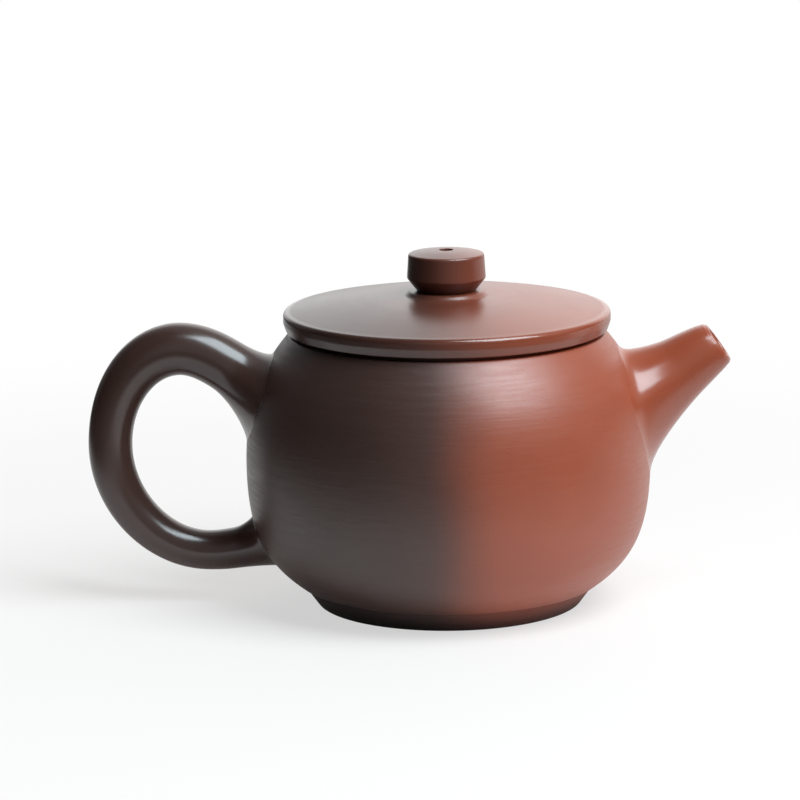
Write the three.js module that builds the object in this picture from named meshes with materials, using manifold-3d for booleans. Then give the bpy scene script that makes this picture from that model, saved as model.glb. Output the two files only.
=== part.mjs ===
// A small clay teapot: burnished, unglazed, two-toned, with a ring handle, a short straight spout
// and a flat overhanging lid with a pierced knob.
// Millimetres, +Z up, the table at z = 0, the spout along +X and the handle along -X.
// Radii are measured from the pot's own axis. The whole pot is moved along X at the end, so that the
// origin is the middle of its length.

import * as THREE from "three";
import { mergeVertices } from "three/addons/utils/BufferGeometryUtils.js";
import Module from "manifold-3d";

const wasm = await Module();
wasm.setup();

// Clearances
const luteGap = 0.3; // slip-filled gap between two curved pieces that are stuck together
const lidClearance = 0.4; // radial play of the lid's flange in the mouth

// Foot and base
const footHeight = 4.4;
const footStep = 0.6; // how far the foot's top edge stands inside the belly's lower edge
const footTaper = 3.2; // how far the foot narrows towards the table
const footWidth = 3.6; // width of the face that it stands on
const baseThickness = 3.1;

// Belly
const bellyRadius = 42.3;
const bellyFootRadius = 31.5; // where the belly meets the foot
const waistRise = 25.5; // from the foot's top to the widest line
const shoulderRise = 27.3; // from the widest line to the mouth
const mouthRadius = 32.9; // outer edge of the belly at the mouth
const wallThickness = 3.0;
const lowerAngle = 35.9; // rise of the belly where it leaves the foot, degrees
const shoulderAngle = 49.1; // fall of the shoulder at the mouth, degrees
const lowerPulls = [8.3, 15.5]; // curve handles of the lower half: at the foot, at the widest line
const upperPulls = [12.9, 9.5]; // curve handles of the upper half: at the widest line, at the mouth

// Mouth ring: stands in a rebate of the shoulder, a little proud of it, and carries the lid
const rimWidth = 1.4; // the belly's edge outside the ring
const ringProud = 0.8;
const mouthRingWidth = 2.8;
const mouthRingDepth = 3.4; // depth of the rebate
const ledgeThickness = 1.6;
const ledgeSlope = 1.6; // height of the slope under the ledge
const ledgeReach = 1.8; // how far the ledge runs under the ring

// Lid
const lidOverhang = 1.2; // beyond the belly's edge
const lidEdgeHeight = 3.0; // from the lid's underside to the top of its upright edge
const lidUndercut = [0.6, 1.8]; // the slope under the edge: inwards, and its height
const lidEdgeRound = 1.0;
const lidDomeRise = 3.1; // from the rounded edge to the seat at the middle
const lidThickness = 3.2;
const lidHollowRise = 0.3; // the lid's hollow starts this far above its underside
const flangeWidth = 2.8;
const flangeDepth = 8;
const flangeLead = 0.7; // the taper at its lower end

// Knob and its collar
const ventRadius = 1.45;
const collarRadius = 8.8;
const collarHeight = 0.9;
const collarRound = 0.6;
const seatMargin = 0.4; // flat of the lid outside the collar
const knobFootRadius = 6.1;
const knobRadius = 8.2;
const knobUnderHeight = 2.7; // the cone under its widest line
const knobSideHeight = 5.1; // from the widest line to the top edge
const knobSideTaper = 0.3;
const knobEdgeRound = 0.5;
const knobCrown = 0.7;
const knobCrownShare = 0.75; // of the crown's rise, reached half way in

// Spout: a round neck on an axis that rises from the belly
const spoutRise = 35.6; // degrees above the table
const spoutReach = 14.25; // from the belly's widest radius to the middle of the mouth, level
const spoutDrop = 2.8; // from the belly's mouth down to the middle of the spout's mouth
const spoutBoreRadius = 3.35; // at the tip
const spoutBoreFlare = 0.15; // growth of the bore's radius for each millimetre inwards
const spoutBoreBeyond = 2; // how far the drill for the bore runs past the tip
const spoutLipWall = 1.25; // wall at the tip
const spoutMouthWall = 1.64;
const spoutMouthLength = 1.4; // behind the tip, where the mouth's wall is reached
const spoutNeckWall = 1.85;
const spoutNeckMiddle = 5; // behind the tip, half way down the neck
const spoutThroatWall = 2.0;
const spoutNeckLength = 9; // behind the tip, where the neck runs into the root
const spoutMouthRise = 0.12; // how far the outside's middle lies above the bore's axis, at the mouth
const spoutNeckRise = 0.2; // and along the neck
const spoutRootDrop = 14.2; // from the belly's mouth down to the middle of the root
const spoutRootUp = 10.15; // reach of the root's outline from its middle
const spoutRootDown = 15.3;
const spoutRootSide = 14.2;
const spoutRootNeckPulls = [1.4, 2.6]; // curve handles of the root's fillet: above, below
const spoutRootBellyPulls = [1.9, 5.0];
const spoutRoot = {
  up: spoutRootUp,
  down: spoutRootDown,
  side: spoutRootSide,
  pointed: 1.5,
  above: { lift: 30, neckPull: spoutRootNeckPulls[0], bellyPull: spoutRootBellyPulls[0] },
  below: { lift: 11, neckPull: spoutRootNeckPulls[1], bellyPull: spoutRootBellyPulls[1] },
};

// Handle: a round-sectioned ring whose middle line is made of two elliptical quarters
const fingerGap = 23.9; // clear width between the belly and the back of the handle
const handleBackThickness = 9.2;
const handleCrownThickness = 11.0;
const handleFloorThickness = 8.3;
const handleCrownDrop = 3.05; // from the belly's mouth down to the middle line's highest point
const handleFloorRise = 6.5; // from the foot's top up to the middle line's lowest point
const handleBackDrop = 23.7; // from the belly's mouth down to the middle line's outermost point
const handleCrownOut = 13.3; // the highest point, out from the belly's widest radius
const handleFloorOut = 7.9; // the lowest point, out from the belly's widest radius
const handleCrownFullness = 0.56; // a quarter of a true ellipse has 0.55
const handleFloorFullness = 0.53;
const upperNeckThickness = 11.2;
const upperNeckOut = 4.05; // the upper neck's end, out from the belly's widest radius
const upperNeckDrop = 6.5; // and down from the belly's mouth
const upperNeckAngle = -33; // its rise towards the belly, degrees
const lowerNeckThickness = 8.6;
const lowerNeckOut = 2.75;
const lowerNeckRise = 6.9; // up from the foot's top
const lowerNeckAngle = 9;
const upperRootDrop = 12.6; // from the belly's mouth down to the middle of the upper root
const lowerRootRise = 8.1; // from the foot's top up to the middle of the lower root
const upperRootUp = 8.0; // reach of the upper root's outline from its middle
const upperRootDown = 9.8;
const upperRootSide = 12.5;
const upperRootNeckPulls = [3.5, 3.6]; // curve handles of its fillet: above, below
const upperRootBellyPulls = [1.9, 3.4];
const upperRoot = {
  up: upperRootUp,
  down: upperRootDown,
  side: upperRootSide,
  pointed: 1.35,
  above: { lift: 58, neckPull: upperRootNeckPulls[0], bellyPull: upperRootBellyPulls[0] },
  below: { lift: 16, neckPull: upperRootNeckPulls[1], bellyPull: upperRootBellyPulls[1] },
};
const lowerRootUp = 5.6;
const lowerRootDown = 5.0;
const lowerRootSide = 6.2;
const lowerRootNeckPulls = [1.5, 1.6];
const lowerRootBellyPulls = [2.5, 1.4];
const lowerRoot = {
  up: lowerRootUp,
  down: lowerRootDown,
  side: lowerRootSide,
  pointed: 1.1,
  above: { lift: 60, neckPull: lowerRootNeckPulls[0], bellyPull: lowerRootBellyPulls[0] },
  below: { lift: 34, neckPull: lowerRootNeckPulls[1], bellyPull: lowerRootBellyPulls[1] },
};

// Strainer: a pierced ball shell behind the spout's hole
const strainerRadius = 9;
const strainerThickness = 1.5;
const strainerHoleRadius = 0.9;
const strainerRings = [
  { holes: 1, angle: 0 },
  { holes: 6, angle: 24 },
  { holes: 10, angle: 46 },
];

// Faceting
const roundSegments = 48;
const knobSegments = 32;
const tubeSides = 20;
const holeSides = 8;
const curveSteps = 8;
const rootSteps = 5;
const handleQuarterSteps = 8;
const neckSteps = 3;
const nearerShare = 0.9; // of a root's outline, for the direction in towards its middle
const fineSteps = 80; // for looking up the belly's radius
const meetingRounds = 8; // for finding where the spout's axis meets the belly
const domeShares = [0.2, 0.4, 0.6, 0.8];
const hollowShares = [0.25, 0.5, 0.75, 1];

// Heights and radii that follow from the sizes above
const waistHeight = footHeight + waistRise;
const mouthHeight = waistHeight + shoulderRise;
const lidBottom = mouthHeight + ringProud;
const lidRadius = mouthRadius + lidOverhang;
const mouthRingOuter = mouthRadius - rimWidth - luteGap;
const mouthBore = mouthRingOuter - mouthRingWidth;
const flangeOuter = mouthBore - lidClearance;
const flangeInner = flangeOuter - flangeWidth;
const lidSeatHeight = lidBottom + lidEdgeHeight + lidEdgeRound + lidDomeRise;
const collarTop = lidSeatHeight + collarHeight;
const handleBackReach = bellyRadius + fingerGap + handleBackThickness / 2;

const radians = THREE.MathUtils.degToRad;
const point = (r, z) => new THREE.Vector2(r, z);

// Materials
const darkClay = new THREE.MeshStandardMaterial({ color: 0x3b2d2a, roughness: 0.42, metalness: 0 });
const mixedClay = new THREE.MeshStandardMaterial({ color: 0x6d4439, roughness: 0.42, metalness: 0 });
const redClay = new THREE.MeshStandardMaterial({ color: 0xa1553d, roughness: 0.42, metalness: 0 });

const pot = new THREE.Group();

function addPiece(name, geometry, material) {
  const mesh = new THREE.Mesh(geometry, material);
  mesh.name = name;
  pot.add(mesh);
}

// A closed solid from any closed geometry, and back again.
function solidFrom(geometry) {
  const bare = geometry.clone();
  bare.deleteAttribute("normal");
  bare.deleteAttribute("uv");
  const merged = mergeVertices(bare, 1e-4);
  const data = {
    numProp: 3,
    vertProperties: merged.attributes.position.array,
    triVerts: new Uint32Array(merged.index.array),
  };
  return new wasm.Manifold(new wasm.Mesh(data));
}

function geometryFrom(solid) {
  const mesh = solid.getMesh();
  const geometry = new THREE.BufferGeometry();
  geometry.setAttribute("position", new THREE.BufferAttribute(mesh.vertProperties, mesh.numProp));
  geometry.setIndex(new THREE.BufferAttribute(mesh.triVerts, 1));
  geometry.computeVertexNormals();
  return geometry;
}

// Turns a closed outline of (radius, height) points about the pot's axis.
function turned(outline, segments = roundSegments) {
  const geometry = new THREE.LatheGeometry(outline, segments);
  return geometry.rotateX(Math.PI / 2);
}

// A closed tube from rings of points, with a fan over each end.
function tubeThrough(rings) {
  const sides = rings[0].length;
  const places = rings.flat();
  const middleOf = (ring) =>
    ring.reduce((sum, place) => sum.add(place), new THREE.Vector3()).divideScalar(sides);
  const first = places.push(middleOf(rings[0])) - 1;
  const last = places.push(middleOf(rings[rings.length - 1])) - 1;
  const lastRing = (rings.length - 1) * sides;
  const faces = [];
  for (let side = 0; side < sides; side++) {
    const next = (side + 1) % sides;
    for (let ring = 0; ring < rings.length - 1; ring++) {
      const here = ring * sides;
      const beyond = here + sides;
      faces.push(here + side, here + next, beyond + next);
      faces.push(here + side, beyond + next, beyond + side);
    }
    faces.push(first, next, side);
    faces.push(last, lastRing + side, lastRing + next);
  }
  const geometry = new THREE.BufferGeometry().setFromPoints(places);
  geometry.setIndex(faces);
  return geometry;
}

// The belly's outline: one cubic curve from the foot to the widest line, one on to the mouth.
function bellyOutline(steps) {
  const slope = radians(lowerAngle);
  const fall = radians(shoulderAngle);
  const lower = new THREE.CubicBezierCurve(
    point(bellyFootRadius, footHeight),
    point(
      bellyFootRadius + lowerPulls[0] * Math.cos(slope),
      footHeight + lowerPulls[0] * Math.sin(slope),
    ),
    point(bellyRadius, waistHeight - lowerPulls[1]),
    point(bellyRadius, waistHeight),
  );
  const upper = new THREE.CubicBezierCurve(
    point(bellyRadius, waistHeight),
    point(bellyRadius, waistHeight + upperPulls[0]),
    point(
      mouthRadius + upperPulls[1] * Math.cos(fall),
      mouthHeight - upperPulls[1] * Math.sin(fall),
    ),
    point(mouthRadius, mouthHeight),
  );
  return [...lower.getPoints(steps), ...upper.getPoints(steps).slice(1)];
}

// The same outline moved along its own normal: outwards for a positive distance.
function movedOutline(distance) {
  const outline = bellyOutline(curveSteps);
  return outline.map((place, index) => {
    const before = outline[Math.max(index - 1, 0)];
    const after = outline[Math.min(index + 1, outline.length - 1)];
    const along = after.clone().sub(before).normalize();
    return point(place.x + along.y * distance, place.y - along.x * distance);
  });
}

const fineOutline = bellyOutline(fineSteps);

// The belly's radius at a height, and the rise of its outline there, as an angle from level.
function bellyAt(height) {
  let index = fineOutline.findIndex((place) => place.y >= height);
  if (index < 1) index = index < 0 ? fineOutline.length - 1 : 1;
  const below = fineOutline[index - 1];
  const above = fineOutline[index];
  const share = (height - below.y) / (above.y - below.y);
  return {
    radius: below.x + (above.x - below.x) * share,
    slope: Math.atan2(above.y - below.y, above.x - below.x),
  };
}

// The belly as a solid block, grown by a distance, for cutting what is stuck on it.
function bellyBlock(distance) {
  const outline = movedOutline(distance);
  const bottom = outline[0];
  const top = outline[outline.length - 1];
  return solidFrom(turned([point(0, bottom.y), ...outline, point(0, top.y)]));
}

function footRing() {
  const outerTop = bellyFootRadius - footStep;
  const outerBottom = outerTop - footTaper;
  const innerBottom = outerBottom - footWidth;
  const innerTop = innerBottom + footStep;
  return turned([
    point(innerBottom, 0),
    point(outerBottom, 0),
    point(outerTop, footHeight),
    point(innerTop, footHeight),
    point(innerBottom, 0),
  ]);
}

const baseRadius = bellyFootRadius - wallThickness - luteGap;

function baseDisc() {
  const top = footHeight + baseThickness;
  return turned([
    point(0, footHeight),
    point(baseRadius, footHeight),
    point(baseRadius, top),
    point(0, top),
  ]);
}

// The wall's inner line: up beside the base, along inside the belly, in under the mouth ring's ledge.
function innerOutline(thickness) {
  const foot = point(baseRadius + luteGap, footHeight);
  const ledgeHeight = mouthHeight - mouthRingDepth;
  const ledgeEdge = mouthRingOuter + luteGap - ledgeReach;
  const underLedge = ledgeHeight - ledgeThickness;
  const inside = movedOutline(-thickness).filter(
    (place) => place.x > foot.x && place.y < underLedge - ledgeSlope,
  );
  return {
    foot,
    inside,
    ledge: [
      point(ledgeEdge, underLedge),
      point(ledgeEdge, ledgeHeight),
      point(mouthRingOuter + luteGap, ledgeHeight),
      point(mouthRingOuter + luteGap, mouthHeight),
    ],
  };
}

// The belly's wall with the spout's hole in it, as an upper and a lower half that meet at the widest line.
function bellyHalves() {
  const { foot, inside, ledge } = innerOutline(wallThickness);
  const outside = bellyOutline(curveSteps);
  const corner = point(foot.x, inside[0].y - luteGap);
  const wall = turned([foot, ...outside, ...ledge.reverse(), ...inside.reverse(), corner, foot]);
  return solidFrom(wall).subtract(spoutBore()).splitByPlane([0, 0, 1], waistHeight).map(geometryFrom);
}

// The room inside the belly, kept clear of the wall by a distance.
function cavity(distance) {
  const { inside } = innerOutline(wallThickness + distance);
  const bottom = inside[0];
  const top = inside[inside.length - 1];
  return solidFrom(turned([point(0, bottom.y), ...inside, point(0, top.y)]));
}

function mouthRing() {
  const bottom = mouthHeight - mouthRingDepth;
  return turned([
    point(mouthBore, bottom),
    point(mouthRingOuter, bottom),
    point(mouthRingOuter, lidBottom),
    point(mouthBore, lidBottom),
    point(mouthBore, bottom),
  ]);
}

// The lid's plate: undercut edge, rounded rim, low dome, a flat seat for the collar, hollow below.
function lidPlate() {
  const seatRadius = collarRadius + seatMargin;
  const edgeTop = lidBottom + lidEdgeHeight;
  const domeStart = point(lidRadius - lidEdgeRound, edgeTop + lidEdgeRound);
  const domeRun = domeStart.x - seatRadius;
  const domeAt = (radius) => {
    const share = (domeStart.x - radius) / domeRun;
    return domeStart.y + lidDomeRise * Math.sin((Math.min(share, 1) * Math.PI) / 2);
  };
  const roundAt = (angle) =>
    point(
      lidRadius - lidEdgeRound + lidEdgeRound * Math.cos(radians(angle)),
      edgeTop + lidEdgeRound * Math.sin(radians(angle)),
    );
  const dome = domeShares.map((share) => {
    const radius = domeStart.x - domeRun * share;
    return point(radius, domeAt(radius));
  });
  const hollow = hollowShares.map((share) => {
    const radius = ventRadius + (flangeInner - ventRadius) * share;
    return point(radius, Math.max(domeAt(radius) - lidThickness, lidBottom + lidHollowRise));
  });
  return turned([
    point(flangeInner, lidBottom),
    point(lidRadius - lidUndercut[0], lidBottom),
    point(lidRadius, lidBottom + lidUndercut[1]),
    point(lidRadius, edgeTop),
    roundAt(45),
    domeStart,
    ...dome,
    point(seatRadius, lidSeatHeight),
    point(ventRadius, lidSeatHeight),
    point(ventRadius, lidSeatHeight - lidThickness),
    ...hollow,
    point(flangeInner, lidBottom),
  ]);
}

function lidFlange() {
  const bottom = lidBottom - flangeDepth;
  return turned([
    point(flangeInner, bottom),
    point(flangeOuter - flangeLead, bottom),
    point(flangeOuter, bottom + flangeLead),
    point(flangeOuter, lidBottom),
    point(flangeInner, lidBottom),
    point(flangeInner, bottom),
  ]);
}

function knobCollar() {
  const outline = [
    point(ventRadius, lidSeatHeight),
    point(collarRadius, lidSeatHeight),
    point(collarRadius, collarTop - collarRound),
    point(collarRadius - collarRound, collarTop),
    point(ventRadius, collarTop),
    point(ventRadius, lidSeatHeight),
  ];
  return turned(outline, knobSegments);
}

function knob() {
  const widest = collarTop + knobUnderHeight;
  const edge = widest + knobSideHeight;
  const sideTop = knobRadius - knobSideTaper;
  const outline = [
    point(ventRadius, collarTop),
    point(knobFootRadius, collarTop),
    point(knobRadius, widest),
    point(sideTop, edge - knobEdgeRound),
    point(sideTop - knobEdgeRound, edge),
    point((sideTop + ventRadius) / 2, edge + knobCrown * knobCrownShare),
    point(ventRadius, edge + knobCrown),
    point(ventRadius, collarTop),
  ];
  return turned(outline, knobSegments);
}

// Points all round a root, on the belly's surface. direction is 1 for the spout's side and -1 for the
// handle's. A full turn starts at the top. The outline is an ellipse, drawn in to a point above and below.
function rootPoint(root, height, direction, angle, share = 1) {
  const shaped = (value) => Math.sign(value) * Math.abs(value) ** root.pointed;
  const rise = shaped(Math.cos(angle)) * (Math.cos(angle) > 0 ? root.up : root.down) * share;
  const side = shaped(Math.sin(angle)) * root.side * share;
  const { radius, slope } = bellyAt(height + rise);
  const out = Math.sqrt(radius * radius - side * side);
  const place = new THREE.Vector3(direction * out, side, height + rise);
  const outward = new THREE.Vector3(
    (direction * out * Math.sin(slope)) / radius,
    (side * Math.sin(slope)) / radius,
    -Math.cos(slope),
  );
  return { place, outward };
}

// Rings of the fillet between a neck and the belly. Each line of it is a cubic curve that leaves the neck
// along its axis and meets the belly at the root's lift angle. fromTop turns the neck ring's own angle
// into one that starts at the top.
function rootRings(root, height, direction, neckRing, neckAxis, fromTop = (angle) => angle) {
  const lines = neckRing.map((start, side) => {
    const angle = fromTop((side / neckRing.length) * 2 * Math.PI);
    const { place, outward } = rootPoint(root, height, direction, angle);
    const nearer = rootPoint(root, height, direction, angle, nearerShare).place;
    const inward = nearer.sub(place).normalize();
    const upper = ((1 + Math.cos(angle)) / 2) ** 2;
    const blended = (name) => root.below[name] + (root.above[name] - root.below[name]) * upper;
    const lift = radians(blended("lift"));
    const bellyPull = blended("bellyPull");
    const startPull = start.clone().addScaledVector(neckAxis, blended("neckPull"));
    const endPull = place
      .clone()
      .addScaledVector(inward, Math.cos(lift) * bellyPull)
      .addScaledVector(outward, Math.sin(lift) * bellyPull);
    const end = place.clone().addScaledVector(outward, -luteGap);
    return new THREE.CubicBezierCurve3(start, startPull, endPull, end);
  });
  return Array.from({ length: rootSteps }, (_, step) =>
    lines.map((line) => line.getPoint((step + 1) / rootSteps)),
  );
}

// A round ring of points about an axis in the XZ plane. It starts at the axis's upper side.
function ringAbout(middle, axis, radius, direction) {
  const up = new THREE.Vector3(-axis.z * direction, 0, axis.x * direction);
  return Array.from({ length: tubeSides }, (_, side) => {
    const angle = (side / tubeSides) * 2 * Math.PI;
    return middle
      .clone()
      .addScaledVector(up, Math.cos(angle) * radius)
      .add(new THREE.Vector3(0, Math.sin(angle) * radius, 0));
  });
}

// Spout
const spoutAxis = new THREE.Vector3(Math.cos(radians(spoutRise)), 0, Math.sin(radians(spoutRise)));
const spoutUp = new THREE.Vector3(-spoutAxis.z, 0, spoutAxis.x);
const spoutTip = new THREE.Vector3(bellyRadius + spoutReach, 0, mouthHeight - spoutDrop);
const alongSpout = (distance) => spoutTip.clone().addScaledVector(spoutAxis, -distance);
const boreRadiusAt = (distance) => spoutBoreRadius + spoutBoreFlare * distance;
// Rings of the neck: distance behind the tip, outer radius, and the ring's middle above the bore's axis.
const spoutRings = [
  [0, spoutLipWall, 0],
  [spoutMouthLength, spoutMouthWall, spoutMouthRise],
  [spoutNeckMiddle, spoutNeckWall, spoutNeckRise],
  [spoutNeckLength, spoutThroatWall, spoutNeckRise],
].map(([behind, wall, rise]) => ({ behind, radius: boreRadiusAt(behind) + wall, rise }));

// How far behind its tip the spout's axis meets the belly, closer with each round.
function spoutLength() {
  let length = spoutReach / spoutAxis.x;
  for (let round = 0; round < meetingRounds; round++) {
    length = (spoutTip.x - bellyAt(alongSpout(length).z).radius) / spoutAxis.x;
  }
  return length;
}

// The bore as a cone, long enough to pass the tip and to reach well inside the belly.
function spoutBore() {
  const inside = spoutLength() + strainerRadius;
  const rings = [-spoutBoreBeyond, inside].map((distance) =>
    ringAbout(alongSpout(distance), spoutAxis, boreRadiusAt(distance), 1),
  );
  return solidFrom(tubeThrough(rings));
}

function spout() {
  const neck = spoutRings.map(({ behind, radius, rise }) =>
    ringAbout(alongSpout(behind).addScaledVector(spoutUp, rise), spoutAxis, radius, 1),
  );
  const neckRing = neck[neck.length - 1];
  const towardsBelly = spoutAxis.clone().negate();
  const root = rootRings(spoutRoot, mouthHeight - spoutRootDrop, 1, neckRing, towardsBelly);
  const whole = solidFrom(tubeThrough([...neck, ...root]));
  return geometryFrom(whole.subtract(bellyBlock(luteGap)).subtract(spoutBore()));
}

// Strainer: half a ball shell that stands on the wall's inside, over the spout's hole, pierced all over.
function strainer() {
  const middle = alongSpout(spoutLength() + wallThickness);
  const { slope } = bellyAt(middle.z);
  const inwards = new THREE.Vector3(-Math.sin(slope), 0, Math.cos(slope));
  const ball = (radius) => {
    const geometry = new THREE.SphereGeometry(radius, tubeSides, tubeSides / 2);
    return solidFrom(geometry.translate(middle.x, middle.y, middle.z));
  };
  const holes = strainerRings.flatMap(({ holes: count, angle }) =>
    Array.from({ length: count }, (_, index) => {
      const turn = (index / count) * 2 * Math.PI;
      const aim = inwards
        .clone()
        .applyAxisAngle(new THREE.Vector3(0, 1, 0), radians(angle))
        .applyAxisAngle(inwards, turn);
      const drill = new THREE.CylinderGeometry(
        strainerHoleRadius,
        strainerHoleRadius,
        strainerRadius,
        holeSides,
      );
      drill.applyQuaternion(new THREE.Quaternion().setFromUnitVectors(new THREE.Vector3(0, 1, 0), aim));
      const centre = middle.clone().addScaledVector(aim, strainerRadius);
      return solidFrom(drill.translate(centre.x, centre.y, centre.z));
    }),
  );
  const shell = ball(strainerRadius).subtract(ball(strainerRadius - strainerThickness));
  const dome = shell.intersect(cavity(luteGap));
  return geometryFrom(holes.reduce((rest, hole) => rest.subtract(hole), dome));
}

// Handle
const handleBack = new THREE.Vector3(-handleBackReach, 0, mouthHeight - handleBackDrop);
const handleCrown = new THREE.Vector3(-bellyRadius - handleCrownOut, 0, mouthHeight - handleCrownDrop);
const handleFloor = new THREE.Vector3(-bellyRadius - handleFloorOut, 0, footHeight + handleFloorRise);

// Middle line from the upper neck over the crown, round the back and along the floor to the lower neck,
// as stations with a place, a direction and a radius.
function handleStations() {
  const upper = new THREE.Vector3(-bellyRadius - upperNeckOut, 0, mouthHeight - upperNeckDrop);
  const lower = new THREE.Vector3(-bellyRadius - lowerNeckOut, 0, footHeight + lowerNeckRise);
  const rising = (angle) => new THREE.Vector3(Math.cos(radians(angle)), 0, Math.sin(radians(angle)));
  const upperOut = rising(upperNeckAngle).negate();
  const lowerIn = rising(lowerNeckAngle);
  const outwards = new THREE.Vector3(-1, 0, 0);
  const leg = (start, startWay, startPull, end, endWay, endPull) =>
    new THREE.CubicBezierCurve3(
      start,
      start.clone().addScaledVector(startWay, startPull),
      end.clone().addScaledVector(endWay, -endPull),
      end,
    );
  const down = new THREE.Vector3(0, 0, -1);
  const inwards = new THREE.Vector3(1, 0, 0);
  const upperPull = upper.distanceTo(handleCrown) / 3;
  const lowerPull = lower.distanceTo(handleFloor) / 3;
  const crownOut = (handleCrown.x - handleBack.x) * handleCrownFullness;
  const crownFall = (handleCrown.z - handleBack.z) * handleCrownFullness;
  const floorOut = (handleFloor.x - handleBack.x) * handleFloorFullness;
  const floorFall = (handleBack.z - handleFloor.z) * handleFloorFullness;
  const legs = [
    [leg(upper, upperOut, upperPull, handleCrown, outwards, upperPull), neckSteps],
    [leg(handleCrown, outwards, crownOut, handleBack, down, crownFall), handleQuarterSteps],
    [leg(handleBack, down, floorFall, handleFloor, inwards, floorOut), handleQuarterSteps],
    [leg(handleFloor, inwards, lowerPull, lower, lowerIn, lowerPull), neckSteps],
  ];
  const thicknesses = [
    upperNeckThickness,
    handleCrownThickness,
    handleBackThickness,
    handleFloorThickness,
    lowerNeckThickness,
  ];
  return legs.flatMap(([curve, steps], index) => {
    const from = index ? 1 : 0;
    return Array.from({ length: steps + 1 - from }, (_, step) => {
      const share = (step + from) / steps;
      const eased = share * share * (3 - 2 * share);
      return {
        place: curve.getPoint(share),
        way: curve.getTangent(share),
        radius: (thicknesses[index] + (thicknesses[index + 1] - thicknesses[index]) * eased) / 2,
      };
    });
  });
}

function handle() {
  const stations = handleStations();
  const rings = stations.map(({ place, way, radius }) => ringAbout(place, way, radius, -1));
  const first = stations[0];
  const last = stations[stations.length - 1];
  const upper = rootRings(
    upperRoot,
    mouthHeight - upperRootDrop,
    -1,
    rings[0],
    first.way.clone().negate(),
  );
  // At the floor the rings start at their lower side.
  const lower = rootRings(
    lowerRoot,
    footHeight + lowerRootRise,
    -1,
    rings[rings.length - 1],
    last.way,
    (angle) => Math.PI - angle,
  );
  const whole = solidFrom(tubeThrough([...upper.reverse(), ...rings, ...lower]));
  return geometryFrom(whole.subtract(bellyBlock(luteGap)));
}

addPiece("foot_ring", footRing(), mixedClay);
addPiece("base_disc", baseDisc(), mixedClay);
const [bellyUpper, bellyLower] = bellyHalves();
addPiece("belly_lower", bellyLower, mixedClay);
addPiece("belly_upper", bellyUpper, mixedClay);
addPiece("mouth_ring", mouthRing(), mixedClay);
addPiece("spout", spout(), redClay);
addPiece("strainer", strainer(), redClay);
addPiece("handle", handle(), darkClay);
addPiece("lid_plate", lidPlate(), mixedClay);
addPiece("lid_flange", lidFlange(), mixedClay);
addPiece("knob_collar", knobCollar(), mixedClay);
addPiece("knob", knob(), mixedClay);

// The middle of the whole length lies between the handle's back and the lower lip of the spout.
const handleEnd = handleBackReach + handleBackThickness / 2;
const spoutEnd = spoutTip.x + spoutRings[0].radius * Math.sin(radians(spoutRise));
pot.position.x = (handleEnd - spoutEnd) / 2;

export default pot;
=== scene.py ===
# A small clay teapot, burnished and unglazed, dark on its handle's side and red on its spout's side.
# Every piece is worked out in millimetres from the pot's own upright axis and put in place in metres.
import math

import bpy
import numpy as np
from mathutils import Matrix, Vector


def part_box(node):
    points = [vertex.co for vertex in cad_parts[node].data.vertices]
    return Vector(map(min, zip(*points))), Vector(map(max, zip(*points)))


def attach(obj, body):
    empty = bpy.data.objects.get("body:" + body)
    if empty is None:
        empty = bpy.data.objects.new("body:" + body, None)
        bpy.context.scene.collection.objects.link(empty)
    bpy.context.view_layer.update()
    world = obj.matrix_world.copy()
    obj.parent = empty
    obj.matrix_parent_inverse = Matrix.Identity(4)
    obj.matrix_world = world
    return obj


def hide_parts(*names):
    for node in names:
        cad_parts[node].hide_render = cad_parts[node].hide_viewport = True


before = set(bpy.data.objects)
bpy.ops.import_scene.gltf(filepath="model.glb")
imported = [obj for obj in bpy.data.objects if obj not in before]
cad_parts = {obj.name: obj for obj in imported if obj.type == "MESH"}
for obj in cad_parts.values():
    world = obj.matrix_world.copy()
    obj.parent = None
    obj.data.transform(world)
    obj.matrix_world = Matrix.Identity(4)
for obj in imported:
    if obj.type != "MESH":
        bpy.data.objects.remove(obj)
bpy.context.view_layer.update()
print("solids loaded:", len(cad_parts))


# A solid's lowest and highest corner, in millimetres.
def sizesOf(node):
    low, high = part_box(node)
    return np.array(low) * 1000, np.array(high) * 1000


bellyLow, bellyHigh = sizesOf("belly_lower")
potAxis = (bellyLow[0] + bellyHigh[0]) / 2
bellyRadius = bellyHigh[1]
footHeight = bellyLow[2]
mouthHeight = sizesOf("belly_upper")[1][2]
lidBottom = sizesOf("lid_plate")[0][2]
lidRadius = sizesOf("lid_plate")[1][1]
lidSeat = sizesOf("lid_plate")[1][2]
flangeBottom = sizesOf("lid_flange")[0][2]
flangeRadius = sizesOf("lid_flange")[1][1]
mouthRingRadius = sizesOf("mouth_ring")[1][1]
mouthRingBottom = sizesOf("mouth_ring")[0][2]
baseTop = sizesOf("base_disc")[1][2]
baseRadius = sizesOf("base_disc")[1][1]
footRadius = sizesOf("foot_ring")[1][1]
collarTop = sizesOf("knob_collar")[1][2]
collarRadius = sizesOf("knob_collar")[1][1]
knobRadius = sizesOf("knob")[1][1]


# Points on a cubic curve from its four handles, at the shares t of its length.
def cubicCurve(handles, t):
    a, b, c, d = [np.asarray(handle, float) for handle in handles]
    t = np.asarray(t, float).reshape((-1,) + (1,) * a.ndim)
    return (1 - t) ** 3 * a + 3 * (1 - t) ** 2 * t * b + 3 * (1 - t) * t**2 * c + t**3 * d


outlineStep = 0.04  # mm between an outline's points while its corners are eased
bellShare = 0.6  # the easing bell's width, as a share of the edge's radius
evenShare = 5.0  # how evenly the points are respaced, against how much they gather at the turns


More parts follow.
